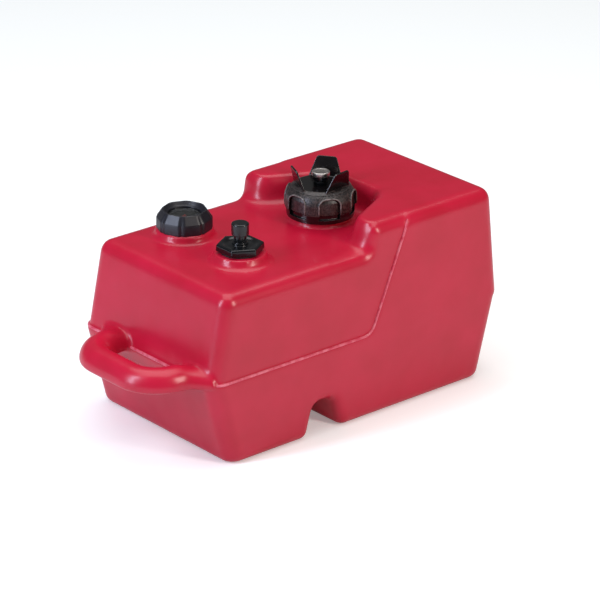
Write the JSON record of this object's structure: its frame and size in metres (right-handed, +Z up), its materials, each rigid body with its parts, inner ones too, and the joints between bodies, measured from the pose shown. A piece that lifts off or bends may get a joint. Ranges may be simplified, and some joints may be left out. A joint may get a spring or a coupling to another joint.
{
  "type": "outboard fuel tank",
  "caption": "Portable moulded fuel tank with a front carrying handle, strap tunnel, vented filler cap, float gauge and fuel pickup.",
  "frame": {"origin": "on the resting surface, under the middle of the whole length and width, handle included", "axes": "+X from the carrying handle to the high rear end, +Y to the left seen from the rear end looking at the handle, +Z up"},
  "size_m": [0.443, 0.21, 0.235],
  "materials": {
    "tank_plastic": "satin moulded polyethylene, slightly mottled",
    "cap_plastic": "fine textured moulding",
    "gauge_plastic": "satin moulding",
    "fitting_plastic": "glossy moulding",
    "inner_plastic": "natural nylon",
    "cap_rubber": "satin soft rubber",
    "seal_rubber": "matte",
    "polished_steel": "polished stainless",
    "satin_steel": "satin stainless",
    "brass_strip": "rolled strip",
    "clear_lens": "clear moulded window",
    "dial_face": "printed dial",
    "pointer_paint": "painted",
    "float_foam": "closed cell foam",
    "filter_mesh": "woven nylon gauze"
  },
  "bodies": {
    "tank": {"tank_shell": "tank_plastic", "gauge_ring": "gauge_plastic", "gauge_lens": "clear_lens", "gauge_dial": "dial_face", "gauge_housing": "gauge_plastic", "gauge_gasket": "seal_rubber", "guide_rods": "satin_steel", "guide_foot": "inner_plastic", "pickup_body": "fitting_plastic", "pickup_gasket": "seal_rubber", "pickup_tube": "inner_plastic", "strainer_collar": "inner_plastic", "strainer_mesh": "filter_mesh", "check_spring": "satin_steel", "spring_seat": "inner_plastic", "nipple_oring": "seal_rubber"},
    "cap_carrier": {"filler_cap_gasket": "seal_rubber"},
    "filler_cap": {"filler_cap_shell": "cap_plastic", "filler_cap_closure": "cap_plastic", "vent_bush": "fitting_plastic"},
    "vent_carrier": {"vent_seal": "seal_rubber"},
    "vent_screw": {"vent_screw": "fitting_plastic", "vent_disc": "polished_steel", "vent_clip": "polished_steel"},
    "gauge_float": {"gauge_float": "float_foam"},
    "gauge_needle": {"twisted_strip": "brass_strip", "gauge_pointer": "pointer_paint"},
    "check_ball": {"check_ball": "satin_steel"},
    "dust_cap": {"dust_cap": "cap_rubber"}
  },
  "joints": [
    {"name": "cap_lift", "type": "slide", "parent": "tank", "child": "cap_carrier", "axis": [0, 0, 1], "range_m": [0, 0.012]},
    {"name": "cap_turn", "type": "hinge", "parent": "cap_carrier", "child": "filler_cap", "pos_m": [0.0665, 0, 0.2], "axis": [0, 0, 1], "range_deg": [0, 720]},
    {"name": "vent_lift", "type": "slide", "parent": "filler_cap", "child": "vent_carrier", "axis": [0, 0, 1], "range_m": [0, 0.0024]},
    {"name": "vent_turn", "type": "hinge", "parent": "vent_carrier", "child": "vent_screw", "pos_m": [0.0665, 0, 0.22], "axis": [0, 0, 1], "range_deg": [0, 864]},
    {"name": "float_slide", "type": "slide", "parent": "tank", "child": "gauge_float", "axis": [0, 0, 1], "range_m": [0, 0.151]},
    {"name": "needle_turn", "type": "hinge", "parent": "tank", "child": "gauge_needle", "pos_m": [-0.067, 0.053, 0.1], "axis": [0, 0, 1], "range_deg": [-270, 0]},
    {"name": "check_ball_slide", "type": "slide", "parent": "tank", "child": "check_ball", "axis": [0, 0, 1], "range_m": [-0.0022, 0], "stiffness_N_per_m": 200, "springref_m": 0.002, "deforming": ["check_spring"]},
    {"name": "dust_cap_lift", "type": "slide", "parent": "tank", "child": "dust_cap", "axis": [0, 0, 1], "range_m": [0, 0.025]}
  ],
  "couplings": [
    {"joint": "cap_lift", "follows": "cap_turn", "m_per_rad": 0.0009549},
    {"joint": "vent_lift", "follows": "vent_turn", "m_per_rad": 0.00015915},
    {"joint": "needle_turn", "follows": "float_slide", "rad_per_m": -31.207}
  ]
}
